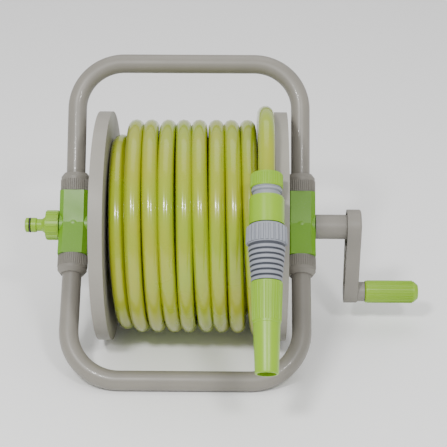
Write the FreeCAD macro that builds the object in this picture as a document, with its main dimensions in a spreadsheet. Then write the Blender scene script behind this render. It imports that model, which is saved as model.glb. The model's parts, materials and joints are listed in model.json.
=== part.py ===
"""Garden hose reel: a tubular frame, a crank-driven drum, a wound hose and its adjustable nozzle.

The reel rests on the rims of its two flanges and on the foot bar in front of them.
X runs along the axle towards the crank, Y runs backwards and Z runs up. Millimetres.
"""
import FreeCAD, Part
import math
import os

import Sketcher

Vector = FreeCAD.Vector
Rotation = FreeCAD.Rotation

# name: (value, what it is)
SIZES = {
    "tube_dia": (19.0, "outer diameter of the frame tube"),
    "tube_wall": (1.2, "wall of the frame tube"),
    "hub_span": (226.0, "between the centres of the two hubs"),
    "handle_lean": (35.2, "degrees that the handle leans back"),
    "handle_reach": (167.0, "axle to the middle of the grip bar"),
    "handle_corner": (47.0, "bend radius of the handle's corners"),
    "foot_reach": (160.0, "axle to the middle of the foot bar"),
    "foot_corner": (51.0, "bend radius of the foot's corners"),
    "hub_dia": (28.0, "diameter of a hub about the axle"),
    "hub_width": (29.0, "width of a hub's arms along the axle"),
    "hub_depth": (27.0, "depth of a hub's arms, front to back"),
    "hub_chamfer": (4.5, "chamfer along a hub's arms"),
    "notch_pitch": (4.6, "from one side notch of a hub to the next"),
    "hub_arm": (34.0, "axle to the end of a hub's arm"),
    "socket_start": (16.0, "axle to the end of the tube in its socket"),
    "fit_gap": (0.1, "clearance of parts that are pushed together"),
    "run_gap": (0.1, "radial clearance of parts that turn in each other"),
    "collar_len": (18.5, "length of a clamp collar"),
    "collar_dia": (29.0, "outer diameter of a clamp collar"),
    "clamp_wall": (1.9, "wall of the split ring in a collar"),
    "flange_dia": (228.0, "outer diameter of a drum flange"),
    "flange_width": (13.0, "width of a flange's rim"),
    "flange_rim": (6.0, "radial thickness of a flange's rim"),
    "flange_web": (3.0, "thickness of a flange's web"),
    "flange_boss": (52.0, "diameter of a flange's boss"),
    "flange_ribs": (6.0, "number of ribs on a flange"),
    "rib_wall": (2.4, "thickness of a flange rib"),
    "drum_left": (87.0, "reel centre to the left flange's outer face"),
    "drum_right": (98.0, "reel centre to the right flange's outer face"),
    "barrel_dia": (120.0, "outer diameter of the barrel"),
    "barrel_wall": (2.5, "wall of the barrel"),
    "journal_dia": (14.0, "diameter of the two journals"),
    "bush_wall": (1.8, "wall of a bearing bush"),
    "water_bore": (9.0, "bore of the water passage"),
    "hose_dia": (16.0, "outer diameter of the hose"),
    "hose_bore": (12.5, "bore of the hose"),
    "coil_dia": (212.0, "outer diameter of the wound hose"),
    "coil_first": (-65.7, "place of the first turn along the axle"),
    "coil_pitch": (15.75, "from one turn to the next"),
    "coil_inner_dia": (196.0, "outer diameter of the coil's lower layers"),
    "coil_turns": (9.0, "turns of hose in a layer"),
    "stub_dia": (20.0, "diameter of the hub's threaded stub"),
    "stub_len": (21.0, "hub centre to the end of that stub"),
    "nut_dia": (28.6, "outer diameter of the inlet nut"),
    "nut_len": (13.0, "length of the inlet nut"),
    "nose_dia": (14.6, "outer diameter of the inlet nose"),
    "nose_tip": (49.5, "hub centre to the tip of the inlet nose"),
    "shaft_dia": (24.5, "diameter of the drive shaft outside the hub"),
    "shaft_end": (46.0, "hub centre to the end of the drive shaft"),
    "crank_throw": (74.0, "axle to the grip's axis"),
    "crank_thick": (14.0, "thickness of the crank arm"),
    "crank_boss": (35.0, "diameter of the crank arm at the axle"),
    "crank_tip": (23.0, "diameter of the crank arm at the grip"),
    "crank_wall": (2.6, "wall of the hollow crank arm"),
    "neck_dia": (20.0, "diameter of the neck below the grip"),
    "neck_len": (7.0, "length of that neck"),
    "pin_dia": (8.0, "diameter of the grip's pin"),
    "grip_dia": (22.6, "diameter of the grip"),
    "grip_len": (54.0, "length of the grip"),
    "nozzle_tilt": (45.0, "degrees between the nozzle and straight down"),
    "nozzle_off": (128.0, "axle to the nozzle's axis"),
    "nozzle_back": (7.0, "from the foot of that distance back to the hose nut"),
    "nozzle_across": (76.5, "reel centre to the nozzle's axis, along the axle"),
    "hose_nut_len": (13.0, "length of the hose nut"),
    "hose_in_nut": (12.0, "how far the hose runs into its nut"),
    "hose_nut_dia": (28.6, "diameter of the hose nut"),
    "band_dia": (27.0, "diameter of the pale band behind the hose nut"),
    "band_len": (9.0, "from the hose nut to the release barrel"),
    "release_len": (26.0, "length of the release barrel"),
    "release_dia": (32.0, "diameter of the release barrel"),
    "release_wall": (3.0, "wall of the release barrel"),
    "release_travel": (4.0, "how far the release barrel slides back"),
    "fluted_len": (19.5, "length of the nozzle's fluted ring"),
    "fluted_dia": (34.8, "diameter of the nozzle's fluted ring"),
    "rings_len": (33.0, "length of the ringed grip"),
    "rings_big": (33.6, "its diameter at the fluted ring"),
    "rings_small": (27.4, "its diameter at the cone"),
    "core_dia": (17.6, "diameter of the nozzle's core"),
    "cone_len": (82.0, "length of the spray cone"),
    "cone_big": (28.0, "diameter of the cone's wide end"),
    "cone_small": (21.0, "diameter of the cone's mouth end"),
    "cone_mouth": (17.2, "bore of the cone's mouth"),
    "cone_gap": (0.6, "between parts that turn end to end"),
}


class Size:
    """A length with the expression that it is worked out from."""

    def __init__(self, value, text):
        self.value = value
        self.text = text

    def _with(self, other, sign, value):
        text = other.text if isinstance(other, Size) else repr(float(other))
        return Size(value, f"({self.text} {sign} {text})")

    def __add__(self, other):
        return self._with(other, "+", self.value + number(other))

    def __sub__(self, other):
        return self._with(other, "-", self.value - number(other))

    def __mul__(self, other):
        return self._with(other, "*", self.value * number(other))

    def __truediv__(self, other):
        return self._with(other, "/", self.value / number(other))


def number(size):
    """The plain value of a Size or of a number."""
    return size.value if isinstance(size, Size) else float(size)


class Cells:
    """The driving dimensions, as attributes."""

    def __init__(self, doc):
        self.sheet = doc.addObject("Spreadsheet::Sheet", "Sizes")
        for row, (name, (value, note)) in enumerate(SIZES.items(), start=1):
            self.sheet.set(f"A{row}", note)
            self.sheet.set(f"B{row}", str(value))
            self.sheet.setAlias(f"B{row}", name)
        doc.recompute()

    def __getattr__(self, name):
        if name not in SIZES:
            raise AttributeError(name)
        return Size(float(self.sheet.get(name)), f"Sizes.{name}")


doc = FreeCAD.newDocument("HoseReel")
S = Cells(doc)
NODES = []


def value(name):
    """The plain value of one driving dimension."""
    return getattr(S, name).value


# ---- places, in the reel's own frame with the axle's middle at its origin ----

tube_r = value("tube_dia") / 2
axle_height = value("flange_dia") / 2
hub_x = value("hub_span") / 2
handle_angle = math.radians(value("handle_lean"))
foot_angle = math.acos((axle_height - tube_r) / value("foot_reach"))  # the bar lies on the floor

UP_ARM = Vector(0, math.sin(handle_angle), math.cos(handle_angle))
DOWN_ARM = Vector(0, -math.sin(foot_angle), -math.cos(foot_angle))
handle_bar = UP_ARM * value("handle_reach")
foot_bar = DOWN_ARM * value("foot_reach")

x_left = -(hub_x + value("nose_tip"))
grip_start = value("shaft_end") + value("crank_thick") + value("neck_len") + value("cone_gap")
x_right = hub_x + grip_start + value("grip_len")
y_front = foot_bar.y - tube_r
y_back = max(value("flange_dia") / 2, handle_bar.y + tube_r)
CENTRE = Vector(-(x_left + x_right) / 2, -(y_front + y_back) / 2, axle_height)


def place(at, z_axis=Vector(0, 0, 1), x_axis=None):
    """A Placement at a point of the reel's frame, with its local Z along z_axis."""
    if x_axis is None:
        turn = Rotation(Vector(0, 0, 1), z_axis)
    else:
        turn = Rotation(x_axis, Vector(), z_axis, "ZXY")
    return FreeCAD.Placement(CENTRE + at, turn)


# ---- makers ----


def keep(thing, label, placement):
    """Names a finished sub-part, places it and notes it for export."""
    thing.Label = label
    thing.Placement = placement
    NODES.append(thing)
    return thing


def origin_plane(body, role):
    """One of a body's own origin planes."""
    return next(f for f in body.Origin.OriginFeatures if f.Role == role)


def bind_point(sketch, edge, spot, x, y):
    """Ties one sketch point to its place, by the sheet's values."""
    for kind, size, axis in (("DistanceX", x, -2), ("DistanceY", y, -1)):
        if number(size) == 0:
            sketch.addConstraint(Sketcher.Constraint("PointOnObject", edge, spot, axis))
            continue
        tie = Sketcher.Constraint(kind, -1, 1, edge, spot, number(size))
        where = sketch.addConstraint(tie)
        if isinstance(size, Size):
            sketch.setExpression(f"Constraints[{where}]", size.text)


def outline(body, name, points, role):
    """A closed sketch of straight edges through points, on one of the body's planes."""
    sketch = body.newObject("Sketcher::SketchObject", name)
    sketch.AttachmentSupport = [(origin_plane(body, role), "")]
    sketch.MapMode = "FlatFace"
    ends = [Vector(number(x), number(y), 0) for x, y in points]
    for i, start in enumerate(ends):
        sketch.addGeometry(Part.LineSegment(start, ends[(i + 1) % len(ends)]), False)
    for i in range(len(ends)):
        after = (i + 1) % len(ends)
        sketch.addConstraint(Sketcher.Constraint("Coincident", i, 2, after, 1))
        bind_point(sketch, i, 1, *points[i])
    return sketch


def turned(label, points, placement, soften=()):
    """A sub-part turned about its local Z from an outline of (radius, height) points."""
    body = doc.addObject("PartDesign::Body", label)
    sketch = outline(body, f"{label}_profile", points, "XZ_Plane")
    turn = body.newObject("PartDesign::Revolution", f"{label}_turn")
    turn.Profile = sketch
    turn.ReferenceAxis = (sketch, ["V_Axis"])
    turn.Angle = 360.0
    sketch.Visibility = False
    body.Tip = turn
    doc.recompute()
    if soften:
        round_edges(body, turn, f"{label}_round", *soften)
    return keep(body, label, placement)


def round_edges(body, base, name, radius, wanted):
    """Fillets the circular edges whose (radius, height) are in wanted."""
    found = []
    for i, edge in enumerate(base.Shape.Edges, start=1):
        if isinstance(edge.Curve, Part.Circle) and any(
            abs(edge.Curve.Radius - number(r)) < 0.01
            and abs(edge.Curve.Center.z - number(z)) < 0.01
            for r, z in wanted
        ):
            found.append(f"Edge{i}")
    fillet = body.newObject("PartDesign::Fillet", name)
    fillet.Base = (base, found)
    fillet.Radius = number(radius)
    body.Tip = fillet
    doc.recompute()
    return fillet


def tube_points(outer, inner, start, end):
    """The outline of a plain tube."""
    return [(inner, start), (outer, start), (outer, end), (inner, end)]


def cylinder(name, radius, height, base=Vector(), axis=Vector(0, 0, 1)):
    """A Part cylinder whose radius and height follow the sheet."""
    made = doc.addObject("Part::Cylinder", name)
    for prop, size in (("Radius", radius), ("Height", height)):
        setattr(made, prop, number(size))
        if isinstance(size, Size):
            made.setExpression(prop, size.text)
    made.Placement = FreeCAD.Placement(base, Rotation(Vector(0, 0, 1), axis))
    return made


def fused(name, parts):
    """The union of several Part objects."""
    made = doc.addObject("Part::MultiFuse", name)
    made.Shapes = parts
    made.Refine = True
    return made


def less(name, base, tool):
    """A Part cut of one object by another."""
    made = doc.addObject("Part::Cut", name)
    made.Base = base
    made.Tool = tool
    return made


def smooth_path(points, radii):
    """A wire of straight runs joined by tangent arcs of the given radii."""
    edges = []
    start = points[0]
    for before, corner, after, radius in zip(points, points[1:], points[2:], radii):
        back = (before - corner).normalize()
        ahead = (after - corner).normalize()
        half = back.getAngle(ahead) / 2
        reach = radius / math.tan(half)
        middle = (back + ahead).normalize()
        centre = corner + middle * (radius / math.sin(half))
        first = corner + back * reach
        last = corner + ahead * reach
        edges.append(Part.LineSegment(start, first).toShape())
        edges.append(Part.Arc(first, centre - middle * radius, last).toShape())
        start = last
    edges.append(Part.LineSegment(start, points[-1]).toShape())
    return Part.Wire(edges)


def swept(path, radius):
    """A round bar along a path."""
    ring = Part.Circle(path.Edges[0].valueAt(path.Edges[0].FirstParameter),
                       path.Edges[0].tangentAt(path.Edges[0].FirstParameter), radius)
    return path.makePipeShell([Part.Wire(ring.toShape())], True, True)


def shaped(label, shape, placement):
    """A sub-part whose shape is made with Part's own functions."""
    made = doc.addObject("Part::Feature", label)
    made.Shape = shape
    return keep(made, label, placement)


def frame_tube(label, arm, bar, corner):
    """A U of steel tube: out of one hub, round two corners and into the other hub."""
    start = arm * (value("socket_start") + value("fit_gap"))
    left = [Vector(-hub_x, p.y, p.z) for p in (start, bar)]
    right = [Vector(hub_x, p.y, p.z) for p in (bar, start)]
    path = smooth_path(left + right, [corner, corner])
    outer = swept(path, tube_r)
    inner = swept(path, tube_r - value("tube_wall"))
    return shaped(label, outer.cut(inner), place(Vector()))


# ---- frame ----

frame_tube("handle_tube", UP_ARM, handle_bar, value("handle_corner"))
frame_tube("foot_tube", DOWN_ARM, foot_bar, value("foot_corner"))

bush_outer = S.journal_dia / 2 + S.run_gap + S.bush_wall


def hub_arm(way):
    """One arm of a hub: a prism with chamfered edges and a row of notches down each side."""
    half_w, half_d = value("hub_width") / 2, value("hub_depth") / 2
    cut = value("hub_chamfer")
    normal = way.cross(Vector(1, 0, 0))
    corners = [(half_w, cut - half_d), (half_w, half_d - cut), (half_w - cut, half_d),
               (cut - half_w, half_d), (-half_w, half_d - cut), (-half_w, cut - half_d),
               (cut - half_w, -half_d), (half_w - cut, -half_d)]
    points = [Vector(x, 0, 0) + normal * n for x, n in corners]
    arm = Part.Face(Part.makePolygon(points + points[:1])).extrude(way * value("hub_arm"))
    notches = []
    for i in range(4):
        at = way * (value("hub_dia") / 2 + value("notch_pitch") * i)
        for side in (-1, 1):
            notch = Part.makeBox(2.4, value("hub_depth") * 0.6, 2.4,
                                 Vector(-1.2, -value("hub_depth") * 0.3, 0))
            turn = Rotation(Vector(1, 0, 0), normal, way, "XZY")
            notch.Placement = FreeCAD.Placement(at + Vector(side * half_w, 0, 0), turn)
            notches.append(notch)
    return arm.cut(notches)


def hub(side, x):
    """A hub: two tube sockets at an angle, a bush seat and, on the inlet side, a threaded stub."""
    hub_r = value("hub_dia") / 2
    seat_r = number(bush_outer + S.fit_gap / 2)
    socket_r = tube_r + value("fit_gap")
    body = hub_arm(UP_ARM).fuse([
        hub_arm(DOWN_ARM), Part.makeSphere(hub_r),
        Part.makeCylinder(hub_r - 1, 2 * hub_r, Vector(-hub_r, 0, 0), Vector(1, 0, 0)),
    ])
    cuts = [Part.makeCylinder(socket_r, value("hub_arm"), way * value("socket_start"), way)
            for way in (UP_ARM, DOWN_ARM)]
    if side == "left":
        left = Vector(-1, 0, 0)
        body = body.fuse(Part.makeCylinder(value("stub_dia") / 2, value("stub_len"), Vector(), left))
        cuts.append(Part.makeCylinder(seat_r, hub_r + 6, Vector(-4, 0, 0), Vector(1, 0, 0)))
        cuts.append(Part.makeCylinder(value("water_bore") / 2, value("stub_len") + 2, Vector(), left))
    else:
        cuts.append(Part.makeCylinder(seat_r, 2 * hub_r + 6, Vector(-hub_r - 3, 0, 0), Vector(1, 0, 0)))
    shaped(f"{side}_hub", body.cut(cuts).removeSplitter(), place(Vector(x, 0, 0)))


hub("left", -hub_x)
hub("right", hub_x)


def collar(label, x, arm):
    """A clamp collar that holds a frame tube in its socket, and the split ring inside it."""
    bore = S.tube_dia / 2 + S.fit_gap
    inside = bore + S.clamp_wall + S.fit_gap
    lip = S.collar_len - 3.0
    at = Vector(x, 0, 0) + arm * (value("hub_arm") + value("fit_gap"))
    turned(label, [
        (inside, 0), (S.collar_dia / 2, 0), (S.collar_dia / 2, S.collar_len - 4.0),
        (S.collar_dia / 2 - 3.0, S.collar_len), (bore, S.collar_len), (bore, lip),
        (inside, lip),
    ], place(at, arm))
    turned(f"{label}_clamp_ring", tube_points(bore + S.clamp_wall, bore, 1.0, lip - S.fit_gap),
           place(at, arm))


for height, arm in (("upper", UP_ARM), ("lower", DOWN_ARM)):
    for side, x in (("left", -hub_x), ("right", hub_x)):
        collar(f"{height}_{side}_collar", x, arm)

TO_RIGHT = Vector(1, 0, 0)
TO_LEFT = Vector(-1, 0, 0)

turned("left_bush", tube_points(bush_outer, S.journal_dia / 2 + S.run_gap, 0, S.hub_dia / 2 + 3.0),
       place(Vector(-hub_x - 3.0, 0, 0), TO_RIGHT))
turned("right_bush", tube_points(bush_outer, S.journal_dia / 2 + S.run_gap, 0, S.hub_dia - 1.0),
       place(Vector(hub_x - value("hub_dia") / 2 + 0.5, 0, 0), TO_RIGHT))

# ---- inlet: nut, washer, nose and its seal, along the axle to the left ----

inlet_at = place(Vector(-hub_x, 0, 0), TO_LEFT)
washer_end = S.stub_len + 1.8
flange_end = washer_end + 2.5
nut_end = flange_end + 3.0
nut_start = nut_end - S.nut_len
turned("inlet_nut", [
    (S.stub_dia / 2 + S.fit_gap, nut_start), (S.nut_dia / 2, nut_start),
    (S.nut_dia / 2, nut_end), (S.nose_dia / 2 + 0.2, nut_end),
    (S.nose_dia / 2 + 0.2, flange_end + S.fit_gap),
    (S.stub_dia / 2 + S.fit_gap, flange_end + S.fit_gap),
], inlet_at)
turned("inlet_washer", tube_points(S.stub_dia / 2, S.water_bore / 2 + 0.5,
                                   S.stub_len, washer_end), inlet_at)
groove = S.nose_tip - 6.2
nose_r = S.nose_dia / 2
turned("inlet_nose", [
    (S.water_bore / 2, washer_end), (S.stub_dia / 2, washer_end), (S.stub_dia / 2, flange_end),
    (nose_r, flange_end), (nose_r, nut_end), (nose_r + 1.8, nut_end + 0.2),
    (nose_r - 1.2, nut_end + 4.5), (nose_r - 1.2, S.nose_tip - 12.0),
    (nose_r, S.nose_tip - 11.0), (nose_r, groove), (nose_r - 1.6, groove),
    (nose_r - 1.6, groove + 2.4), (nose_r, groove + 2.4), (nose_r, S.nose_tip - 1.0),
    (nose_r - 1.4, S.nose_tip), (S.water_bore / 2, S.nose_tip),
], inlet_at)


def o_ring(label, ring_r, section_r, placement):
    """A rubber ring of a round section about its local Z."""
    ring = doc.addObject("Part::Torus", label)
    for prop, size in (("Radius1", ring_r), ("Radius2", section_r)):
        setattr(ring, prop, number(size))
        if isinstance(size, Size):
            ring.setExpression(prop, size.text)
    return keep(ring, label, placement)


o_ring("inlet_o_ring", nose_r - 0.68, 0.92,
       place(Vector(-hub_x - number(groove) - 1.2, 0, 0), TO_LEFT))

# ---- drum: flanges, barrel, journals, outlet and drive shaft ----

flange_r = S.flange_dia / 2
boss_r = S.flange_boss / 2


def flange(side, outer_x, outward, bore):
    """A flange: dished web inside a broad rim, a boss and ribs on the outer face."""
    width = S.flange_width
    base_z = 0
    profile = [
        (bore, base_z), (flange_r, base_z), (flange_r, width), (flange_r - S.flange_rim, width),
        (flange_r - S.flange_rim, S.flange_web), (boss_r, S.flange_web), (boss_r, width - 1.0),
        (bore, width - 1.0),
    ]
    label = f"{side}_flange"
    at = place(Vector(outer_x, 0, 0) - outward * value("flange_width"), outward)
    body = turned(label, profile, at)
    sketch = body.newObject("Sketcher::SketchObject", f"{label}_rib_sketch")
    sketch.AttachmentSupport = [(origin_plane(body, "XY_Plane"), "")]
    sketch.MapMode = "FlatFace"
    half = S.rib_wall / 2
    start, end = boss_r - 2.0, flange_r - S.flange_rim + 1.0
    corners = [(start, half * -1.0), (end, half * -1.0), (end, half), (start, half)]
    ends = [Vector(number(x), number(y), 0) for x, y in corners]
    for i in range(4):
        sketch.addGeometry(Part.LineSegment(ends[i], ends[(i + 1) % 4]), False)
    for i in range(4):
        sketch.addConstraint(Sketcher.Constraint("Coincident", i, 2, (i + 1) % 4, 1))
        bind_point(sketch, i, 1, *corners[i])
    pad = body.newObject("PartDesign::Pad", f"{label}_rib")
    pad.Profile = sketch
    pad.Length = number(width) - 3.0
    pad.setExpression("Length", (width - 3.0).text)
    doc.recompute()
    ring = body.newObject("PartDesign::PolarPattern", f"{label}_ribs")
    ring.Originals = [pad]
    ring.Axis = (sketch, ["N_Axis"])
    ring.Angle = 360.0
    ring.Occurrences = int(value("flange_ribs"))
    body.Tip = ring
    doc.recompute()
    return body


spigot_r = S.journal_dia / 2
flange("left", -value("drum_left"), TO_LEFT, spigot_r + 4.0 + S.fit_gap)
flange("right", value("drum_right"), TO_RIGHT, spigot_r + 4.0 + S.fit_gap)

drum_width = S.drum_left + S.drum_right - S.flange_width * 2.0
elbow_reach = 25.0 + value("fit_gap")  # the spigot's flange to the outlet's axis
elbow_x = -value("drum_left") + value("flange_width") + elbow_reach


def barrel():
    """The barrel: a tube between the flanges, with a port that the hose leaves through."""
    start = Vector(-value("drum_left") + value("flange_width") + value("fit_gap"), 0, 0)
    length = drum_width - S.fit_gap * 2.0
    solid = cylinder("barrel_solid", S.barrel_dia / 2, length, start, TO_RIGHT)
    hollow = cylinder("barrel_hollow", S.barrel_dia / 2 - S.barrel_wall, length, start, TO_RIGHT)
    port = cylinder("barrel_port", S.hose_dia / 2 + 0.3, S.barrel_dia, Vector(elbow_x, 0, 0))
    made = less("barrel_shape", solid, fused("barrel_cuts", [hollow, port]))
    return keep(made, "barrel", place(Vector()))


barrel()

# The swivel spigot carries the drum on the inlet side and brings the water to the outlet elbow.
spigot_in = S.hub_span / 2 - S.drum_left + S.flange_width
spigot_groove = spigot_r - 1.3
turned("swivel_spigot", [
    (S.water_bore / 2, -1.5), (spigot_r, -1.5), (spigot_r, 3.0), (spigot_groove, 3.0),
    (spigot_groove, 5.0), (spigot_r, 5.0), (spigot_r, 8.0), (spigot_groove, 8.0),
    (spigot_groove, 10.0), (spigot_r, 10.0), (spigot_r, S.hub_dia / 2 + 2.0),
    (spigot_r + 4.0, S.hub_dia / 2 + 2.0), (spigot_r + 4.0, spigot_in + S.fit_gap),
    (spigot_r + 9.0, spigot_in + S.fit_gap), (spigot_r + 9.0, spigot_in + 4.0),
    (spigot_r, spigot_in + 4.0), (spigot_r, spigot_in + 16.0),
    (S.water_bore / 2, spigot_in + 16.0),
], place(Vector(-hub_x, 0, 0), TO_RIGHT))
for i, z in enumerate((4.0, 9.0), start=1):
    o_ring(f"swivel_o_ring_{i}", spigot_r - 0.68, 0.6, place(Vector(-hub_x + z, 0, 0), TO_RIGHT))

def outlet_elbow():
    """The elbow inside the barrel: a socket on the spigot and a barbed tail for the hose."""
    socket = cylinder("elbow_socket", spigot_r + 3.0, 24.0, Vector(-24.0 + 9.0, 0, 0), TO_RIGHT)
    tail = cylinder("elbow_tail", S.hose_bore / 2 - 0.1, 34.0)
    knuckle = doc.addObject("Part::Sphere", "elbow_knuckle")
    knuckle.Radius = value("journal_dia") / 2 + 2.0
    knuckle.setExpression("Radius", (spigot_r + 2.0).text)
    shell = fused("elbow_shell", [socket, tail, knuckle])
    mouth = cylinder("elbow_mouth", spigot_r + S.fit_gap, 16.0,
                     Vector(-25.0, 0, 0), TO_RIGHT)
    along = cylinder("elbow_along", S.water_bore / 2, 12.0, Vector(-12.0, 0, 0), TO_RIGHT)
    up = cylinder("elbow_up", S.water_bore / 2, 40.0)
    made = less("elbow_shape", shell, fused("elbow_water", [mouth, along, up]))
    return keep(made, "outlet_elbow", place(Vector(elbow_x, 0, 0)))


outlet_elbow()
turned("hose_clip", tube_points(S.hose_dia / 2 + 1.3, S.hose_dia / 2 + S.fit_gap, 20.0, 29.0),
       place(Vector(elbow_x, 0, 0)))
turned("hose_start", tube_points(S.hose_dia / 2, S.hose_bore / 2, 13.0,
                                 S.barrel_dia / 2 - 0.6),
       place(Vector(elbow_x, 0, 0)))

shaft_in = S.hub_span / 2 - S.drum_right
shaft_flange = shaft_in + S.flange_width
turned("drive_shaft", [
    (0, 0), (spigot_r + 9.0, 0), (spigot_r + 9.0, 3.9), (spigot_r + 4.0, 3.9),
    (spigot_r + 4.0, shaft_flange - S.hub_dia / 2 + 3.2),
    (spigot_r, shaft_flange - S.hub_dia / 2 + 3.2),
    (spigot_r, shaft_flange + S.hub_dia / 2 + 5.0),
    (S.shaft_dia / 2, shaft_flange + S.hub_dia / 2 + 5.0),
    (S.shaft_dia / 2, shaft_flange + S.shaft_end + 4.0),
    (6.0, shaft_flange + S.shaft_end + 4.0), (6.0, shaft_flange + S.shaft_end + 13.0),
    (2.0, shaft_flange + S.shaft_end + 13.0), (2.0, shaft_flange + S.shaft_end - 6.0),
    (0, shaft_flange + S.shaft_end - 6.0),
], place(Vector(value("drum_right") - value("flange_width") - 4.0, 0, 0), TO_RIGHT))


def flange_screws(side, x, outward):
    """Four screws that hold a flange to the barrel's end ring, as one node of solids."""
    circle = (value("barrel_dia") - value("barrel_wall")) / 2 - 9.0
    screws = []
    for i in range(4):
        angle = math.radians(45 + 90 * i)
        at = Vector(x, circle * math.cos(angle), circle * math.sin(angle))
        head = Part.makeCylinder(3.6, 2.4, at + outward * 0.1, outward)
        shank = Part.makeCylinder(1.7, 12.0, at - outward * 12.0 + outward * 0.1, outward)
        screws.append(head.fuse(shank).removeSplitter())
    return shaped(f"{side}_flange_screws", Part.Compound(screws), place(Vector()))


def end_ring(side, x, inward):
    """The ring inside the barrel's end that takes the flange's screws."""
    outer = S.barrel_dia / 2 - S.barrel_wall - S.fit_gap
    turned(f"{side}_barrel_ring", tube_points(outer, outer - 14.0, S.fit_gap, 6.0),
           place(Vector(x, 0, 0), inward))


def drill(body, label, count, circle_r, hole_r, depth):
    """Round holes on a circle about the body's local Z, cut right through."""
    sketch = body.newObject("Sketcher::SketchObject", f"{label}_sketch")
    sketch.AttachmentSupport = [(origin_plane(body, "XY_Plane"), "")]
    sketch.MapMode = "FlatFace"
    for i in range(count):
        angle = math.radians(45 + 360 / count * i)
        centre = Vector(circle_r * math.cos(angle), circle_r * math.sin(angle), 0)
        sketch.addGeometry(Part.Circle(centre, Vector(0, 0, 1), hole_r), False)
    pocket = body.newObject("PartDesign::Pocket", label)
    pocket.Profile = sketch
    pocket.Type = 1
    pocket.Midplane = True
    pocket.Length = depth
    body.Tip = pocket
    doc.recompute()


screw_circle = (value("barrel_dia") - value("barrel_wall")) / 2 - 9.0
for side, x, way in (("left", -value("drum_left") + value("flange_width"), TO_LEFT),
                     ("right", value("drum_right") - value("flange_width"), TO_RIGHT)):
    end_ring(side, x, way * -1)
    flange_screws(side, x + way.x * value("flange_web"), way)
for body in list(NODES):
    if body.Label in ("left_flange", "right_flange", "left_barrel_ring", "right_barrel_ring"):
        drill(body, f"{body.Label}_screw_holes", 4, screw_circle, 1.9, 40.0)

# ---- hose ----

def coil():
    """The wound hose: a closed ring with a round ridge for each outer turn and a lower end."""
    outer = value("coil_dia") / 2
    inner = value("barrel_dia") / 2 + 0.3
    radius = value("coil_pitch") / 2
    ridge = outer - radius
    first = value("coil_first") - radius
    last = first + value("coil_turns") * value("coil_pitch")
    end = value("drum_right") - value("flange_width") - 0.4
    edges = [Part.LineSegment(Vector(inner, 0, first), Vector(ridge, 0, first)).toShape()]
    for i in range(int(value("coil_turns"))):
        z = value("coil_first") + i * value("coil_pitch")
        arc = Part.Arc(Vector(ridge, 0, z - radius), Vector(outer, 0, z), Vector(ridge, 0, z + radius))
        edges.append(arc.toShape())
    low = value("coil_inner_dia") / 2
    rest = [Vector(ridge, 0, last), Vector(low - 0.01, 0, last), Vector(low - 0.01, 0, end),
            Vector(inner, 0, end), Vector(inner, 0, first)]
    edges += [Part.LineSegment(a, b).toShape() for a, b in zip(rest, rest[1:])]
    return Part.Face(Part.Wire(edges)).revolve(Vector(), Vector(0, 0, 1), 360)


shaped("hose_coil", coil(), place(Vector(), TO_RIGHT))

tilt = math.radians(value("nozzle_tilt"))
ALONG = Vector(0, -math.sin(tilt), -math.cos(tilt))
OUTWARD = Vector(0, -math.cos(tilt), math.sin(tilt))
nozzle_top = (Vector(value("nozzle_across"), 0, 0) + OUTWARD * value("nozzle_off")
              - ALONG * value("nozzle_back"))
# The free end's route round the axle, as (forward, up): up the back of the coil, over it and down.
HOSE_ROUTE = [
    (-96.5, -46.5), (-110.4, -9.7), (-100.4, 46.8), (-63.6, 90.8),
    (-18.0, 115.0), (24.0, 128.0), (62.2, 118.8), (94.0, 87.0),
]
ROUTE = [Vector(value("nozzle_across"), -forward, up) for forward, up in HOSE_ROUTE]


def route_radii(points):
    """Each corner's arc radius: 0.45 of the shorter run, over the tangent of half the turn."""
    radii = []
    for before, corner, after in zip(points, points[1:], points[2:]):
        turn = (corner - before).getAngle(after - corner)
        run = min((corner - before).Length, (after - corner).Length)
        radii.append(0.45 * run / math.tan(turn / 2))
    return radii


def free_hose():
    """The stretch of hose from the back of the coil to the nozzle."""
    radii = route_radii(ROUTE)
    path = smooth_path(ROUTE, radii)
    solid = swept(path, value("hose_dia") / 2)
    section = math.pi * (value("hose_dia") / 2) ** 2
    print("free hose: length %.1f, volume %.0f against %.0f, radii %s" % (
        path.Length, solid.Volume, section * path.Length, [round(r) for r in radii]))
    print("route in metres:", [tuple(round(c / 1000, 4) for c in CENTRE + p) for p in ROUTE])
    return solid


shaped("hose_free_end", free_hose(), place(Vector()))

# ---- connector and nozzle, from the hose nut down to the spray cone ----

nozzle_at = place(nozzle_top, ALONG, TO_RIGHT)
nut_bore = S.hose_dia / 2 + 0.2
barb_r = S.hose_bore / 2 - 0.2
core_socket_r = S.nose_dia / 2 + 0.4
release_r = S.release_dia / 2 - S.release_wall
release_start = S.hose_nut_len + S.band_len
release_end = release_start + S.release_len
core_socket_start = release_end - 20.0
ring_start = release_end + 0.5
rings_start = ring_start + S.fluted_len
rings_end = rings_start + S.rings_len
core_r = S.core_dia / 2
cone_start = rings_end + S.cone_gap
cone_end = cone_start + S.cone_len
turned("hose_nut", tube_points(S.hose_nut_dia / 2, nut_bore, 0, S.hose_nut_len), nozzle_at)
turned("connector_body", [
    (S.water_bore / 2, S.hose_in_nut + 0.2), (barb_r, S.hose_in_nut + 0.2),
    (barb_r, S.hose_nut_len + S.fit_gap), (S.band_dia / 2, S.hose_nut_len + S.fit_gap),
    (S.band_dia / 2, release_start - S.release_travel - 0.5),
    (release_r - 0.4, release_start - S.release_travel - 0.5), (release_r - 0.4, release_end - 0.5),
    (core_socket_r, release_end - 0.5), (core_socket_r, core_socket_start),
    (S.water_bore / 2, core_socket_start),
], nozzle_at)
turned("release_barrel", [
    (release_r, release_start), (S.release_dia / 2 - 1.0, release_start),
    (S.release_dia / 2, release_start + 2.0), (S.release_dia / 2, release_end),
    (release_r, release_end),
], nozzle_at)
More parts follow.
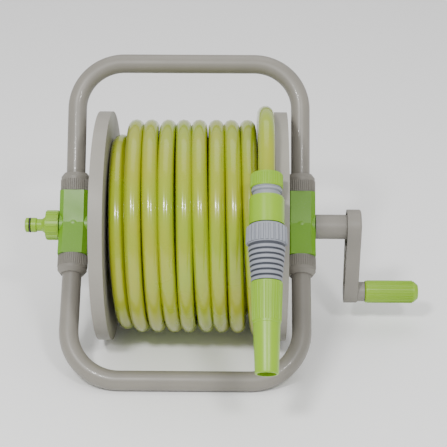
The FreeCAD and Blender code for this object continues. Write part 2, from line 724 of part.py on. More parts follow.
turned("nozzle_core", [
    (3.0, core_socket_start + 1.0), (S.nose_dia / 2 - 1.0, core_socket_start + 1.0),
    (S.nose_dia / 2, core_socket_start + 2.0), (S.nose_dia / 2, core_socket_start + 5.0),
    (S.nose_dia / 2 - 1.4, core_socket_start + 5.0), (S.nose_dia / 2 - 1.4, core_socket_start + 7.2),
    (S.nose_dia / 2, core_socket_start + 7.2), (S.nose_dia / 2, ring_start - 0.2),
    (core_r, ring_start - 0.1), (core_r, rings_end),
    (6.0, rings_end), (6.0, cone_end - 20.0), (3.0, cone_end - 20.0),
], nozzle_at)
o_ring("nozzle_o_ring", S.nose_dia / 2 - 0.5, 0.85,
       place(nozzle_top + ALONG * (number(core_socket_start) + 6.1), ALONG))
turned("nozzle_needle", [
    (0, cone_end - 40.0), (2.6, cone_end - 40.0), (2.6, cone_end - 16.0),
    (4.4, cone_end - 12.0), (0, cone_end - 9.0),
], nozzle_at)
turned("nozzle_grip", [
    (core_r + S.fit_gap, ring_start), (S.fluted_dia / 2 - 1.2, ring_start),
    (S.fluted_dia / 2, ring_start + 4.0), (S.fluted_dia / 2, rings_start),
    (S.rings_big / 2, rings_start), (S.rings_small / 2, rings_end),
    (core_r + S.fit_gap, rings_end),
], nozzle_at)
cone_step = cone_start + S.cone_len * 0.45
turned("spray_cone", [
    (6.4, cone_start), (S.cone_big / 2, cone_start),
    (S.cone_small / 2 + 2.1, cone_step), (S.cone_small / 2 + 1.6, cone_step + 0.5),
    (S.cone_small / 2, cone_end - 1.0), (S.cone_small / 2 - 0.6, cone_end),
    (S.cone_mouth / 2, cone_end), (S.cone_mouth / 2, cone_end - 12.0), (6.4, cone_end - 18.0),
], nozzle_at)

# ---- crank: arm, screw, grip pin and grip ----

DOWN_CRANK = Vector(0, 0, -1)
crank_at = Vector(hub_x + value("shaft_end") + value("fit_gap"), 0, 0)


def teardrop(big, small, throw, start, depth):
    """A solid between two circles and their outer tangents; local X runs towards the small one."""
    lean = math.acos((big - small) / throw)
    side = [Vector(big * math.cos(lean), big * math.sin(lean), start),
            Vector(throw + small * math.cos(lean), small * math.sin(lean), start)]
    other = [Vector(p.x, -p.y, p.z) for p in side]
    edges = [
        Part.LineSegment(side[0], side[1]).toShape(),
        Part.Arc(side[1], Vector(throw + small, 0, start), other[1]).toShape(),
        Part.LineSegment(other[1], other[0]).toShape(),
        Part.Arc(other[0], Vector(-big, 0, start), side[0]).toShape(),
    ]
    return Part.Face(Part.Wire(edges)).extrude(Vector(0, 0, depth))


def crank_arm():
    """A hollow teardrop arm, open towards the hub, with a driven boss and the grip's neck."""
    throw, thick, wall = value("crank_throw"), value("crank_thick"), value("crank_wall")
    big, small = value("crank_boss") / 2, value("crank_tip") / 2
    shell = teardrop(big, small, throw, 0, thick)
    shell = shell.makeFillet(2.0, [e for e in shell.Edges if min(v.Z for v in e.Vertexes) > 1])
    hollow = teardrop(big - wall, small - wall, throw, -1, thick - wall + 1)
    boss = Part.makeCylinder(value("shaft_dia") / 2, thick - 0.5)
    post = Part.makeCylinder(small - wall - 1.5, thick - 0.5, Vector(throw, 0, 0))
    ribs = [Part.makeBox(wall, 2 * big, thick - 1, Vector(x, -big, 0)) for x in (24.0, 38.0)]
    inside = ribs[0].fuse([ribs[1], boss, post]).common(hollow)
    neck = Part.makeCylinder(value("neck_dia") / 2, value("neck_len"), Vector(throw, 0, thick))
    pin_len = value("grip_len") + 2 * value("cone_gap") - 6.0
    pin = Part.makeCylinder(value("pin_dia") / 2, pin_len,
                            Vector(throw, 0, thick + value("neck_len")))
    arm = shell.cut(hollow).fuse([inside, neck, pin])
    socket = Part.makeCylinder(6.1, 10.5, Vector(0, 0, -0.5))
    screw = Part.makeCylinder(2.6, thick + 2, Vector(0, 0, -1))
    seat = Part.makeCylinder(4.6, 1.0, Vector(0, 0, thick - 0.8))
    clip_at = Vector(throw, 0, thick + value("neck_len") + value("cone_gap") - value("fit_gap")
                     + value("grip_len") - 7.0)
    pin_r = value("pin_dia") / 2
    groove_ring = Part.makeCylinder(pin_r + 1, 1.1, clip_at).cut(
        Part.makeCylinder(pin_r - 0.9, 1.1, clip_at))
    return arm.cut([socket, screw, seat, groove_ring]).removeSplitter()


def crank_place(shift=0.0):
    """The crank's placement: local X towards the grip, local Z along the axle."""
    turn = Rotation(DOWN_CRANK, Vector(), TO_RIGHT, "ZXY")
    return FreeCAD.Placement(CENTRE + crank_at + TO_RIGHT * shift, turn)


shaped("crank_arm", crank_arm(), crank_place())
turned("crank_screw", [
    (0, -8.0), (1.9, -8.0), (1.9, S.crank_thick - 0.7), (4.4, S.crank_thick - 0.7),
    (3.6, S.crank_thick + 1.3), (0, S.crank_thick + 1.6),
], crank_place())
grip_at = FreeCAD.Placement(
    CENTRE + crank_at + DOWN_CRANK * value("crank_throw")
    + TO_RIGHT * (value("crank_thick") + value("neck_len") + value("cone_gap") - value("fit_gap")),
    Rotation(DOWN_CRANK, Vector(), TO_RIGHT, "ZXY"))
turned("crank_grip", [
    (S.pin_dia / 2 + S.run_gap, 0), (S.grip_dia / 2 - 0.6, 0), (S.grip_dia / 2, 1.0),
    (S.grip_dia / 2 - 0.6, S.grip_len - 4.0), (S.grip_dia / 2 - 4.0, S.grip_len), (0, S.grip_len),
    (0, S.grip_len - 2.6), (S.pin_dia / 2 + 1.6, S.grip_len - 2.6),
    (S.pin_dia / 2 + 1.6, S.grip_len - 7.4), (S.pin_dia / 2 + S.run_gap, S.grip_len - 7.4),
], grip_at)
turned("grip_clip", tube_points(S.pin_dia / 2 + 1.3, S.pin_dia / 2 - 0.8, S.grip_len - 6.9,
                                S.grip_len - 6.0), grip_at)

# ---- checks and files ----

doc.recompute()
for thing in doc.Objects:
    if {"Invalid", "Error"} & set(thing.State):
        raise RuntimeError(f"{thing.Label} failed: {thing.State}")
os.makedirs("parts", exist_ok=True)
for node in NODES:
    if node.Shape.isNull() or not node.Shape.isValid():
        raise RuntimeError(f"{node.Label} has no valid shape")
    node.Shape.exportStep(os.path.join("parts", f"{node.Label}.step"))
    print("%-28s %2d solids %10.0f mm3" % (
        node.Label, len(node.Shape.Solids), node.Shape.Volume))
print("centre", CENTRE, "box x %.1f..%.1f y %.1f..%.1f" % (x_left, x_right, y_front, y_back))
print("bars", handle_bar, foot_bar)
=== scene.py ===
"""Looks of the garden hose reel: the wound hose, its connector and nozzle, and every finish."""

import json
import logging
import math
from dataclasses import dataclass, field
from enum import Enum

import bmesh
import bpy
from mathutils import Matrix, Vector


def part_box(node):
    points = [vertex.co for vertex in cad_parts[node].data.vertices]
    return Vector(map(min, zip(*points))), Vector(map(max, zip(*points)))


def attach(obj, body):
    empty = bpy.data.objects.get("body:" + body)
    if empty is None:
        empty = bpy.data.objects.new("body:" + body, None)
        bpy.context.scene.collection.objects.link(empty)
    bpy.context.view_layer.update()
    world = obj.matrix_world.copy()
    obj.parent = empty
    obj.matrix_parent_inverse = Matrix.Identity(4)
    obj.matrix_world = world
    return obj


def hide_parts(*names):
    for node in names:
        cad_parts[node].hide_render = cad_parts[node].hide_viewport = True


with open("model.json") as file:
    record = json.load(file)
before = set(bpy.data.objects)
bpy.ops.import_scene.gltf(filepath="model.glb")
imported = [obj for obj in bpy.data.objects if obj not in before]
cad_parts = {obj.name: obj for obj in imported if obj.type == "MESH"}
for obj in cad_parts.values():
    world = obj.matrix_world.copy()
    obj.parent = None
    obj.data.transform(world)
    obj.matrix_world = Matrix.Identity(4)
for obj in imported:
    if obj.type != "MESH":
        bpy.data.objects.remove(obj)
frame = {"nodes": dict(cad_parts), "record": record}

LOG = logging.getLogger("hose_reel")
MM = 0.001
Colour = tuple[float, float, float]


class Body(str, Enum):
    """The bodies that the new pieces ride on."""

    FRAME = "frame"
    GRIP = "grip"
    NOZZLE_TIP = "nozzle_tip"


def joint_line(name: str) -> tuple[Vector, Vector]:
    """Where a joint's axis runs.

    Args:
        name: The joint's name in the record.

    Returns:
        A point on the axis, in metres, and its direction.
    """
    joints = frame["record"]["behaviour"]["joints"]
    joint = next(j for j in joints if j["name"] == name)
    return Vector(joint["pos_m"]), Vector(joint["axis"]).normalized()


AXLE, ALONG_AXLE = joint_line("drum_spin")
NOZZLE_TOP, ALONG_NOZZLE = joint_line("nozzle_twist")
GRIP_POINT, _ = joint_line("grip_spin")


# ---- finishes ----


def new_group(name: str, inputs: dict[str, float | Colour], outputs: dict[str, str]):
    """Makes an empty shader node group with named sockets.

    Args:
        name: The group's name.
        inputs: Each input's name and default value.
        outputs: Each output's name and socket type.

    Returns:
        The group, its input node and its output node.
    """
    group = bpy.data.node_groups.new(name, "ShaderNodeTree")
    for label, default in inputs.items():
        kind = "NodeSocketColor" if isinstance(default, tuple) else "NodeSocketFloat"
        socket = group.interface.new_socket(label, in_out="INPUT", socket_type=kind)
        socket.default_value = (*default, 1.0) if isinstance(default, tuple) else default
    for label, kind in outputs.items():
        group.interface.new_socket(label, in_out="OUTPUT", socket_type=kind)
    return group, group.nodes.new("NodeGroupInput"), group.nodes.new("NodeGroupOutput")


def surface_group() -> bpy.types.ShaderNodeTree:
    """The surface that every finish shares: slow shade, fine grain and dulled dusty patches."""
    group, start, end = new_group(
        "moulded_surface",
        {
            "Colour": (0.5, 0.5, 0.5), "Shade": (0.4, 0.4, 0.4), "Patch Scale": 18.0,
            "Grain Scale": 900.0, "Roughness": 0.4, "Roughness Spread": 0.12, "Dust": 0.05,
        },
        {"Colour": "NodeSocketColor", "Roughness": "NodeSocketFloat", "Height": "NodeSocketFloat"},
    )
    nodes, links = group.nodes, group.links
    coordinates = nodes.new("ShaderNodeTexCoord")
    patches = nodes.new("ShaderNodeTexNoise")
    patches.inputs["Detail"].default_value = 3.0
    grain = nodes.new("ShaderNodeTexNoise")
    grain.inputs["Detail"].default_value = 2.0
    for noise, socket in ((patches, "Patch Scale"), (grain, "Grain Scale")):
        links.new(coordinates.outputs["Object"], noise.inputs["Vector"])
        links.new(start.outputs[socket], noise.inputs["Scale"])
    spread = nodes.new("ShaderNodeMapRange")
    spread.inputs["From Min"].default_value = 0.35
    spread.inputs["From Max"].default_value = 0.65
    links.new(patches.outputs["Fac"], spread.inputs["Value"])
    tint = nodes.new("ShaderNodeMix")
    tint.data_type = "RGBA"
    links.new(spread.outputs["Result"], tint.inputs["Factor"])
    links.new(start.outputs["Colour"], tint.inputs["A"])
    links.new(start.outputs["Shade"], tint.inputs["B"])
    speck = nodes.new("ShaderNodeMapRange")
    speck.inputs["From Min"].default_value = 0.58
    speck.inputs["From Max"].default_value = 0.75
    links.new(grain.outputs["Fac"], speck.inputs["Value"])
    amount = nodes.new("ShaderNodeMath")
    amount.operation = "MULTIPLY"
    links.new(speck.outputs["Result"], amount.inputs[0])
    links.new(start.outputs["Dust"], amount.inputs[1])
    dusted = nodes.new("ShaderNodeMix")
    dusted.data_type = "RGBA"
    dusted.inputs["B"].default_value = (0.7, 0.68, 0.62, 1.0)
    links.new(amount.outputs["Value"], dusted.inputs["Factor"])
    links.new(tint.outputs["Result"], dusted.inputs["A"])
    rough = nodes.new("ShaderNodeMath")
    rough.operation = "MULTIPLY_ADD"
    links.new(spread.outputs["Result"], rough.inputs[0])
    links.new(start.outputs["Roughness Spread"], rough.inputs[1])
    links.new(start.outputs["Roughness"], rough.inputs[2])
    links.new(dusted.outputs["Result"], end.inputs["Colour"])
    links.new(rough.outputs["Value"], end.inputs["Roughness"])
    links.new(grain.outputs["Fac"], end.inputs["Height"])
    return group


SURFACE = surface_group()


@dataclass(frozen=True)
class Finish:
    """One finish of the reel.

    Args:
        name: The material's name.
        colour: Its main colour, linear.
        shade: The colour that it drifts to in patches.
        roughness: Its lowest roughness.
        grain: The scale of its fine grain.
        bump: The strength of that grain.
        metallic: 1 for bare metal.
        coat: The weight of a clear coat.
        dust: How much dust its grain holds.
    """

    name: str
    colour: Colour
    shade: Colour
    roughness: float = 0.35
    grain: float = 900.0
    bump: float = 0.05
    metallic: float = 0.0
    coat: float = 0.0
    dust: float = 0.04

    def material(self) -> bpy.types.Material:
        """The finish's material, built the first time that it is asked for."""
        name = f"{self.name}_finish"
        known = bpy.data.materials.get(name)
        if known is not None:
            return known
        material = bpy.data.materials.new(name)
        material.use_nodes = True
        nodes, links = material.node_tree.nodes, material.node_tree.links
        shader = nodes["Principled BSDF"]
        surface = nodes.new("ShaderNodeGroup")
        surface.node_tree = SURFACE
        surface.inputs["Colour"].default_value = (*self.colour, 1.0)
        surface.inputs["Shade"].default_value = (*self.shade, 1.0)
        surface.inputs["Grain Scale"].default_value = self.grain
        surface.inputs["Roughness"].default_value = self.roughness
        surface.inputs["Dust"].default_value = self.dust
        bump = nodes.new("ShaderNodeBump")
        bump.inputs["Strength"].default_value = self.bump
        bump.inputs["Distance"].default_value = 0.2 * MM
        links.new(surface.outputs["Colour"], shader.inputs["Base Color"])
        links.new(surface.outputs["Roughness"], shader.inputs["Roughness"])
        links.new(surface.outputs["Height"], bump.inputs["Height"])
        links.new(bump.outputs["Normal"], shader.inputs["Normal"])
        shader.inputs["Metallic"].default_value = self.metallic
        shader.inputs["Coat Weight"].default_value = self.coat
        return material


HOSE_VINYL = Finish("hose_vinyl", (0.27, 0.36, 0.008), (0.31, 0.34, 0.008), 0.2, 500.0, 0.02,
                    coat=0.5, dust=0.0)
LIME = Finish("lime_plastic", (0.23, 0.42, 0.006), (0.205, 0.385, 0.005), 0.33)
HUB_GREEN = Finish("hub_green", (0.145, 0.35, 0.005), (0.12, 0.30, 0.004), 0.34)
TUBE_PAINT = Finish("tube_paint", (0.225, 0.21, 0.18), (0.20, 0.187, 0.16), 0.34, 1400.0, 0.08, coat=0.1)
COLLAR_GREY = Finish("collar_grey", (0.225, 0.21, 0.18), (0.20, 0.187, 0.16), 0.46)
DRUM_GREY = Finish("drum_grey", (0.29, 0.274, 0.24), (0.265, 0.25, 0.218), 0.45)
CRANK_GREY = Finish("crank_grey", (0.225, 0.21, 0.183), (0.20, 0.187, 0.163), 0.42)
GRIP_GREY = Finish("nozzle_grey", (0.26, 0.275, 0.31), (0.23, 0.245, 0.28), 0.5)
# Near-black painted shade, laid in the nozzle grip's grooves and on the slopes beside the band's pale
# ring.
GROOVE_PAINTED_SHADE = Finish("groove_painted_shade", (0.06, 0.065, 0.08), (0.05, 0.055, 0.07), 0.6)
RUBBER = Finish("seal_rubber", (0.012, 0.012, 0.012), (0.02, 0.02, 0.02), 0.5)
STEEL = Finish("zinc_steel", (0.6, 0.6, 0.58), (0.5, 0.5, 0.49), 0.3, 1500.0, 0.06, metallic=1.0)
INNER = Finish("inner_plastic", (0.07, 0.07, 0.07), (0.05, 0.05, 0.05), 0.5)
NATURAL = Finish("natural_plastic", (0.7, 0.7, 0.66), (0.62, 0.62, 0.58), 0.45)

SLOT_FINISHES: dict[str, Finish] = {
    "frame_tube": TUBE_PAINT, "hub_green": HUB_GREEN, "collar_grey": COLLAR_GREY,
    "clamp_white": NATURAL, "bush_white": NATURAL, "lime_plastic": LIME, "seal_rubber": RUBBER,
    "drum_grey": DRUM_GREY, "crank_grey": CRANK_GREY, "inner_black": INNER, "steel": STEEL,
    "hose_vinyl": HOSE_VINYL, "nozzle_grey": GRIP_GREY, "stem_white": NATURAL,
}


def dress_nodes() -> None:
    """Gives every CAD node the finish of its slot."""
    for row in frame["record"]["subparts"]:
        finish = SLOT_FINISHES[row["material_slot"]]
        for slot in frame["nodes"][row["node"]].material_slots:
            slot.material = finish.material()
        LOG.info("dressed %s with %s", row["node"], finish.name)


# ---- geometry nodes: ribs round an axis ----


def rib_tree() -> bpy.types.GeometryNodeTree:
    """The tree that sets slim round ribs in a ring, leaning in or out along their length.

    Returns:
        A tree with inputs Radius, Length, Count, Rib Radius, Taper and Material.
    """
    tree = bpy.data.node_groups.new("ring_of_ribs", "GeometryNodeTree")
    face = tree.interface
    face.new_socket("Geometry", in_out="INPUT", socket_type="NodeSocketGeometry")
    for label in ("Radius", "Length", "Rib Radius", "Taper"):
        face.new_socket(label, in_out="INPUT", socket_type="NodeSocketFloat")
    face.new_socket("Count", in_out="INPUT", socket_type="NodeSocketInt")
    face.new_socket("Material", in_out="INPUT", socket_type="NodeSocketMaterial")
    face.new_socket("Geometry", in_out="OUTPUT", socket_type="NodeSocketGeometry")
    nodes, links = tree.nodes, tree.links
    start, end = nodes.new("NodeGroupInput"), nodes.new("NodeGroupOutput")
    ring = nodes.new("GeometryNodeMeshCircle")
    links.new(start.outputs["Count"], ring.inputs["Vertices"])
    links.new(start.outputs["Radius"], ring.inputs["Radius"])
    rib = nodes.new("GeometryNodeMeshCylinder")
    rib.inputs["Vertices"].default_value = 8
    links.new(start.outputs["Rib Radius"], rib.inputs["Radius"])
    links.new(start.outputs["Length"], rib.inputs["Depth"])
    index = nodes.new("GeometryNodeInputIndex")
    step = nodes.new("ShaderNodeMath")
    step.operation = "DIVIDE"
    step.inputs[0].default_value = 2 * math.pi
    links.new(start.outputs["Count"], step.inputs[1])
    angle = nodes.new("ShaderNodeMath")
    angle.operation = "MULTIPLY"
    links.new(index.outputs["Index"], angle.inputs[0])
    links.new(step.outputs["Value"], angle.inputs[1])
    turn = nodes.new("ShaderNodeCombineXYZ")
    links.new(start.outputs["Taper"], turn.inputs["Y"])
    links.new(angle.outputs["Value"], turn.inputs["Z"])
    rotation = nodes.new("FunctionNodeEulerToRotation")
    links.new(turn.outputs["Vector"], rotation.inputs["Euler"])
    instances = nodes.new("GeometryNodeInstanceOnPoints")
    links.new(ring.outputs["Mesh"], instances.inputs["Points"])
    links.new(rib.outputs["Mesh"], instances.inputs["Instance"])
    links.new(rotation.outputs["Rotation"], instances.inputs["Rotation"])
    real = nodes.new("GeometryNodeRealizeInstances")
    links.new(instances.outputs["Instances"], real.inputs["Geometry"])
    paint = nodes.new("GeometryNodeSetMaterial")
    links.new(real.outputs["Geometry"], paint.inputs["Geometry"])
    links.new(start.outputs["Material"], paint.inputs["Material"])
    links.new(paint.outputs["Geometry"], end.inputs["Geometry"])
    return tree


RIB_TREE = rib_tree()


def axis_place(centre: Vector, axis: Vector) -> Matrix:
    """The matrix that takes local Z to an axis through a centre."""
    return Matrix.Translation(centre) @ axis.to_track_quat("Z", "Y").to_matrix().to_4x4()


def finished(name: str, mesh: bpy.types.Mesh, body: Body, slot: str) -> bpy.types.Object:
    """Links a finished mesh as a piece.

    Args:
        name: The piece's name.
        mesh: Its mesh, already in place.
        body: The body that it rides on.
        slot: The record's material slot; not used.

    Returns:
        The new object.
    """
    piece = bpy.data.objects.new(name, mesh)
    bpy.context.scene.collection.objects.link(piece)
    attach(piece, body.value)
    LOG.info("made %s", name)
    return piece


@dataclass(frozen=True)
class RibRing:
    """A ring of slim ribs on a round part. Lengths in metres."""

    name: str
    centre: Vector
    axis: Vector
    radius: float
    length: float
    count: int
    rib_radius: float
    finish: Finish
    slot: str
    body: Body
    taper: float = 0.0

    def build(self) -> bpy.types.Object:
        """Runs the tree once and keeps its mesh."""
        holder = bpy.data.objects.new(f"{self.name}_holder", bpy.data.meshes.new(self.name))
        bpy.context.scene.collection.objects.link(holder)
        modifier = holder.modifiers.new("ribs", "NODES")
        modifier.node_group = RIB_TREE
        values = {
            "Radius": self.radius, "Length": self.length, "Count": self.count,
            "Rib Radius": self.rib_radius, "Taper": self.taper,
            "Material": self.finish.material(),
        }
        for item in RIB_TREE.interface.items_tree:
            if item.in_out == "INPUT" and item.name in values:
                modifier[item.identifier] = values[item.name]
        evaluated = holder.evaluated_get(bpy.context.evaluated_depsgraph_get())
        mesh = bpy.data.meshes.new_from_object(evaluated)
        holder.modifiers.clear()
        bpy.data.objects.remove(holder)
        mesh.transform(axis_place(self.centre, self.axis))
        mesh.name = self.name
        return finished(self.name, mesh, self.body, self.slot)


# ---- turned shells ----


@dataclass
class Lathe:
    """A closed shape turned about an axis.

    Args:
        name: The piece's name.
        finishes: The materials that the outline's stretches name by number.
        segments: Faces round the axis.
    """

    name: str
    finishes: list[Finish]
    segments: int = 96

    def build(self, outline: list[tuple[float, float, int]], place: Matrix) -> bpy.types.Mesh:
        """Turns an outline.

        Args:
            outline: (radius, height, finish number) points of a closed outline.
            place: The matrix that takes local Z to the axis.

        Returns:
            The mesh, in place.
        """
        mesh = bpy.data.meshes.new(self.name)
        work = bmesh.new()
        rings = []
        for radius, height, _ in outline:
            ring = []
            for i in range(self.segments):
                angle = 2 * math.pi * i / self.segments
                spot = (radius * math.cos(angle), radius * math.sin(angle), height)
                ring.append(work.verts.new(spot))
            rings.append(ring)
        for row, (ring, (_, _, number)) in enumerate(zip(rings, outline)):
            after = rings[(row + 1) % len(rings)]
            for i in range(self.segments):
                j = (i + 1) % self.segments
                face = work.faces.new((ring[i], ring[j], after[j], after[i]))
                face.material_index = number
                face.smooth = True
        bmesh.ops.recalc_face_normals(work, faces=work.faces)
        work.to_mesh(mesh)
        work.free()
        for finish in self.finishes:
            mesh.materials.append(finish.material())
        mesh.transform(place)
        return mesh


# ---- the hose ----


@dataclass
class Hose:
    """The hose: three wound layers, then the free end over the top to its nut.

    It rides the frame whole, because its nut is held there, so the winding stands still when the
    drum turns. Lengths in metres; places along the axle are from the reel's middle.
    """

    diameter: float = 16 * MM
    pitch: float = 15.75 * MM
    first: float = -65.7 * MM
    across: float = 76.5 * MM
    outlet: float = -48.9 * MM
    barrel_radius: float = 60 * MM
    layers: tuple[float, ...] = (68.2 * MM, 83.1 * MM, 98.0 * MM)
    turns: int = 9
    points_per_turn: int = 24
    climb: int = 14  # control points over which a layer rises onto the one below
    slack: float = 1.004  # how far control points stand proud, so that the line keeps its radius
    tail_turn: float = 220.0  # degrees from the front at which the winding ends
    tail_lift: float = 7 * MM
    stray: float = 0.9 * MM
    stray_waves: float = 1.7
    stray_drift: float = 5.0
    # The free end as (forward, up) from the axle.
    route: list[tuple[float, float]] = field(default_factory=lambda: [
        (-0.0965, -0.0465), (-0.1104, -0.0097), (-0.1004, 0.0468), (-0.0636, 0.0908),
        (-0.0180, 0.1150), (0.0240, 0.1280), (0.0622, 0.1188), (0.0940, 0.0870),
    ])

    @property
    def middle(self) -> Vector:
        """The reel's middle on the axle."""
        across = NOZZLE_TOP.x - self.across
        return Vector((across, AXLE.y, AXLE.z))

    def spot(self, across: float, radius: float, turn: float) -> Vector:
        """A control point of the winding.

        Args:
            across: The place along the axle.
            radius: The centreline's distance from the axle.
            turn: Radians from the front over the top.

        Returns:
            The point, in the reel's frame.
        """
        proud = radius / math.cos(math.pi / self.points_per_turn) * self.slack
        return self.middle + Vector((across, -proud * math.cos(turn), proud * math.sin(turn)))

    def winding(self) -> list[Vector]:
        """The control points of the three layers, which wind from back over top to front."""
        step = 2 * math.pi / self.points_per_turn
        last = self.first + self.turns * self.pitch
        outer_last = self.first + (self.turns - 1) * self.pitch
        spans = [
            (self.first, last, self.layers[0], self.turns),
            (last, self.first, self.layers[1], self.turns),
            (self.first, outer_last, self.layers[2], self.turns - 1),
        ]
        points = []
        turn = math.pi / 2
        below = self.layers[0]
        for start, end, radius, turns in spans:
            count = turns * self.points_per_turn
            for i in range(count):
                share = i / count
                lean = self.wander(turn, share) if radius == self.layers[-1] else 0.0
                rise = min(1.0, i / self.climb)
                now = below + (radius - below) * rise * rise * (3 - 2 * rise)
                points.append(self.spot(start + (end - start) * share + lean, now, turn))
                turn -= step
            below = radius
        goal = math.radians(self.tail_turn) - 2 * math.pi
        while goal > turn:
            goal -= 2 * math.pi
        count = int((turn - goal) / step)
        for i in range(count):
            share = i / count
            ease = share * share * (3 - 2 * share)
            across = outer_last + (self.across - outer_last) * ease
            points.append(self.spot(across, self.layers[2] + self.tail_lift * ease, turn))
            turn -= step
        return points

    def wander(self, turn: float, share: float) -> float:
        """How far an outer turn strays sideways, so that the turns aren't all alike."""
        fade = math.sin(math.pi * share)
        return self.stray * fade * math.sin(self.stray_waves * turn + self.stray_drift * share)

    def build(self) -> bpy.types.Object:
        """Makes the hose as one open spline with a round bevel."""
        curve = bpy.data.curves.new("hose", "CURVE")
        curve.dimensions = "3D"
        curve.bevel_depth = self.diameter / 2
        curve.bevel_resolution = 4
        curve.resolution_u = 4
        curve.use_fill_caps = True
        free = [Vector((NOZZLE_TOP.x, AXLE.y - f, AXLE.z + u)) for f, u in self.route]
        points = self.winding() + free
        spline = curve.splines.new("NURBS")
        spline.points.add(len(points) - 1)
        for target, point in zip(spline.points, points):
            target.co = (*point, 1.0)
        spline.order_u = 3
        spline.use_endpoint_u = True
        curve.materials.append(HOSE_VINYL.material())
        hose = bpy.data.objects.new("hose", curve)
        bpy.context.scene.collection.objects.link(hose)
        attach(hose, Body.FRAME.value)
        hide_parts("hose_coil", "hose_free_end")
        self.length = self.run(points)
        LOG.info("made hose, %.2f m", self.length)
        return hose

    def run(self, points: list[Vector]) -> float:
        """The length of the line through the points' midpoints, which the spline keeps to."""
        middles = [(a + b) / 2 for a, b in zip(points, points[1:])]
        return sum((b - a).length for a, b in zip(middles, middles[1:]))


# ---- connector and nozzle ----


@dataclass
class Nozzle:
    """The hose nut, connector and spray nozzle. Lengths in metres, from the nut's start."""

    nut_length: float = 13 * MM
    nut_radius: float = 14.3 * MM
    ring_start: float = 48.5 * MM
    rings_start: float = 68 * MM
    rings_end: float = 101 * MM
    cone_step: float = 138 * MM
    fluted_radius: float = 17.4 * MM
    big_radius: float = 16.8 * MM
    small_radius: float = 13.7 * MM
    core_radius: float = 8.9 * MM
    rings: int = 7
    groove_depth: float = 1.7 * MM

    def at(self, distance: float) -> Vector:
        """A point on the nozzle's axis."""
        return NOZZLE_TOP + ALONG_NOZZLE * distance

    def grip(self) -> bpy.types.Object:
        """The grey grip: a fluted ring, then proud rings with grooves between them; the groove floors
        and walls are painted near-black as painted shade.
        """
        r, start = self.fluted_radius, self.ring_start
        # Finish number 1 is painted shade: the step into the grooves, the groove floors and their walls
        # are near-black.
        outline = [
            (self.core_radius, start, 0), (r - 2.2 * MM, start, 0), (r - 1.4 * MM, start + 0.6 * MM, 0),
            (r - 0.5 * MM, start + 4 * MM, 0), (r - 0.3 * MM, self.rings_start - 3 * MM, 0),
            (r - 0.8 * MM, self.rings_start - 1 * MM, 1),
        ]
        pitch = (self.rings_end - self.rings_start) / self.rings
        for i in range(self.rings):
            low = self.rings_start + i * pitch
            share = (low - self.rings_start) / (self.rings_end - self.rings_start)
            proud = self.big_radius + (self.small_radius - self.big_radius) * share
            floor = proud - self.groove_depth
            outline += [
                (floor, low, 1), (floor, low + 0.34 * pitch, 1),
                (proud - 0.4 * MM, low + 0.36 * pitch, 0), (proud, low + 0.46 * pitch, 0),
                (proud - 0.1 * MM, low + 0.86 * pitch, 0), (proud - 0.6 * MM, low + 0.98 * pitch, 1),
            ]
        outline.append((self.small_radius - self.groove_depth, self.rings_end, 1))
        outline.append((self.core_radius, self.rings_end, 0))
        mesh = Lathe("nozzle_ringed_grip", [GRIP_GREY, GROOVE_PAINTED_SHADE]).build(
            outline, axis_place(NOZZLE_TOP, ALONG_NOZZLE))
        piece = finished("nozzle_ringed_grip", mesh, Body.FRAME, "nozzle_grey")
        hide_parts("nozzle_grip")
        return piece

    def band(self) -> bpy.types.Object:
        """The pale ring on the band behind the hose nut, with near-black painted shade on the slopes on
        each side of it.
        """
        start, r = self.nut_length, 13.5 * MM
        # Finish number 1 is painted shade on the slopes beside the pale ring.
        outline = [
            (r - 0.6 * MM, start + 0.2 * MM, 1), (r + 0.3 * MM, start + 1.4 * MM, 0),
            (r + 0.5 * MM, start + 2.2 * MM, 0), (r + 0.3 * MM, start + 4.0 * MM, 1),
            (r - 0.6 * MM, start + 4.4 * MM, 1),
        ]
        mesh = Lathe("connector_band", [GRIP_GREY, GROOVE_PAINTED_SHADE]).build(
            outline, axis_place(NOZZLE_TOP, ALONG_NOZZLE))
        return finished("connector_band", mesh, Body.FRAME, "nozzle_grey")

    def ribs(self) -> list[bpy.types.Object]:
        """The nut's knurl, the grip's flutes and the cone's fine ribs."""
        cone_length = self.cone_step - self.rings_end - 3 * MM
        rings = [
            RibRing("hose_nut_ribs", self.at(self.nut_length / 2), ALONG_NOZZLE, self.nut_radius,
                    self.nut_length * 0.86, 40, 0.6 * MM, LIME, "lime_plastic", Body.FRAME),
            RibRing("nozzle_grip_flutes", self.at(58.5 * MM), ALONG_NOZZLE,
                    self.fluted_radius - 0.3 * MM, 15 * MM, 24, 1.5 * MM, GRIP_GREY, "nozzle_grey",
                    Body.FRAME, taper=math.radians(1.5)),
            RibRing("spray_cone_ribs", self.at(self.rings_end + 1.5 * MM + cone_length / 2),
                    ALONG_NOZZLE, 13.15 * MM, cone_length, 34, 0.55 * MM, LIME, "lime_plastic",
                    Body.NOZZLE_TIP, taper=math.radians(-2.1)),
        ]
        return [ring.build() for ring in rings]

    def build(self) -> list[bpy.types.Object]:
        """All of the nozzle's pieces."""
        return [self.grip(), self.band(), *self.ribs()]


# ---- frame and crank details ----


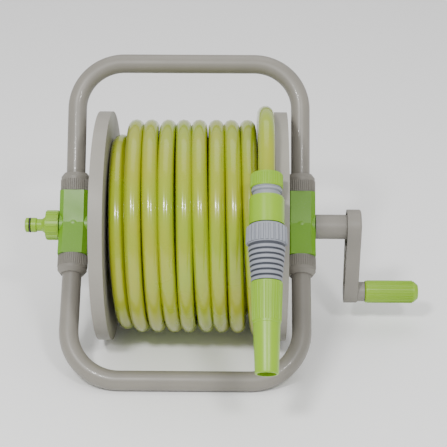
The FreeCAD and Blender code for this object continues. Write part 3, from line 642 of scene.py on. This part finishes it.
@dataclass
class FrameDetails:
    """Knurls of the clamp collars and ribs of the inlet nut. Lengths in metres."""

    collar_radius: float = 14.5 * MM
    collar_ribs: int = 44
    nut_radius: float = 13.6 * MM
    nut_length: float = 11 * MM

    def collars(self) -> list[bpy.types.Object]:
        """A fine knurl round each clamp collar."""
        made = []
        for height in ("upper", "lower"):
            for side in ("left", "right"):
                name = f"{height}_{side}_collar"
                low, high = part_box(name)
                centre = (low + high) / 2
                axis = Vector((0, centre.y - AXLE.y, centre.z - AXLE.z)).normalized()
                made.append(RibRing(f"{name}_knurl", centre - axis * 2 * MM, axis,
                                    self.collar_radius, 11 * MM, self.collar_ribs, 0.45 * MM,
                                    COLLAR_GREY, "collar_grey", Body.FRAME).build())
        return made

    def inlet(self) -> bpy.types.Object:
        """The broad ribs of the inlet nut."""
        low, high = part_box("inlet_nut")
        return RibRing("inlet_nut_ribs", (low + high) / 2, ALONG_AXLE, self.nut_radius,
                       self.nut_length, 14, 1.7 * MM, LIME, "lime_plastic", Body.FRAME).build()

    def build(self) -> list[bpy.types.Object]:
        """All of the frame's details."""
        return [*self.collars(), self.inlet()]


@dataclass
class CrankDetails:
    """The lengthwise ribs of the crank's grip. Lengths in metres."""

    radius: float = 10.9 * MM
    length: float = 46 * MM

    def build(self) -> bpy.types.Object:
        """The grip's ribs."""
        low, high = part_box("crank_grip")
        centre = Vector(((low.x + high.x) / 2 - 1.5 * MM, GRIP_POINT.y, GRIP_POINT.z))
        return RibRing("crank_grip_ribs", centre, ALONG_AXLE, self.radius, self.length, 30,
                       0.6 * MM, LIME, "lime_plastic", Body.GRIP).build()


# ---- studio ----


@dataclass(frozen=True)
class Studio:
    """The floor, the lights and the camera. Lengths in metres, angles in degrees."""

    elevation: float = 26.7
    azimuth: float = 0.8
    distance: float = 1.30
    lens: float = 104.7

    def camera(self) -> None:
        """Looks down at the reel from the front."""
        data = bpy.data.cameras.new("camera")
        data.lens = self.lens
        data.sensor_width = 36.0
        camera = bpy.data.objects.new("camera", data)
        bpy.context.scene.collection.objects.link(camera)
        a, e = math.radians(self.azimuth), math.radians(self.elevation)
        back = Vector((math.sin(a) * math.cos(e), -math.cos(a) * math.cos(e), math.sin(e)))
        target = Vector((0.0, AXLE.y, AXLE.z + 3 * MM))
        camera.location = target + back * self.distance
        camera.rotation_euler = (-back).to_track_quat("-Z", "Y").to_euler()
        bpy.context.scene.camera = camera

    def light(self, name: str, place: Vector, size: float, power: float) -> None:
        """A soft square light that faces the reel.

        Args:
            name: The light's name.
            place: Where it hangs.
            size: Its side.
            power: Its power in watts.
        """
        data = bpy.data.lights.new(name, "AREA")
        data.size, data.energy = size, power
        light = bpy.data.objects.new(name, data)
        bpy.context.scene.collection.objects.link(light)
        light.location = place
        light.rotation_euler = (AXLE - place).to_track_quat("-Z", "Y").to_euler()

    def build(self) -> None:
        """Sets up the floor, the backdrop light, two small lights in front and a soft one above."""
        mesh = bpy.data.meshes.new("floor")
        half = 6.0  # half of the floor's side
        corners = [(-half, -half, 0), (half, -half, 0), (half, half, 0), (-half, half, 0)]
        mesh.from_pydata(corners, [], [(0, 1, 2, 3)])
        floor = bpy.data.objects.new("floor", mesh)
        bpy.context.scene.collection.objects.link(floor)
        paint = bpy.data.materials.new("floor_paint")
        paint.use_nodes = True
        shader = paint.node_tree.nodes["Principled BSDF"]
        shader.inputs["Base Color"].default_value = (0.97, 0.97, 0.97, 1.0)
        shader.inputs["Roughness"].default_value = 0.9
        mesh.materials.append(paint)
        world = bpy.data.worlds.new("studio")
        world.use_nodes = True
        world.node_tree.nodes["Background"].inputs["Color"].default_value = (1, 1, 1, 1)
        world.node_tree.nodes["Background"].inputs["Strength"].default_value = 0.8
        bpy.context.scene.world = world
        self.light("key", Vector((-0.45, -1.1, 1.35)), 0.22, 17.0)
        self.light("fill", Vector((0.5, -1.1, 1.3)), 0.2, 9.0)
        self.light("top", Vector((0.0, 0.5, 1.7)), 1.4, 9.0)


def main() -> None:
    """Builds the scene and reports each piece."""
    logging.basicConfig(level=logging.INFO, format="%(name)s: %(message)s")
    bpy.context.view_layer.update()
    studio = Studio()
    studio.camera()
    hose = Hose()
    hose_piece = hose.build()
    studio.build()
    dress_nodes()
    nozzle_pieces = Nozzle().build()
    FrameDetails().build()
    CrankDetails().build()
    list(nozzle_pieces)


if __name__ == "__main__":
    main()
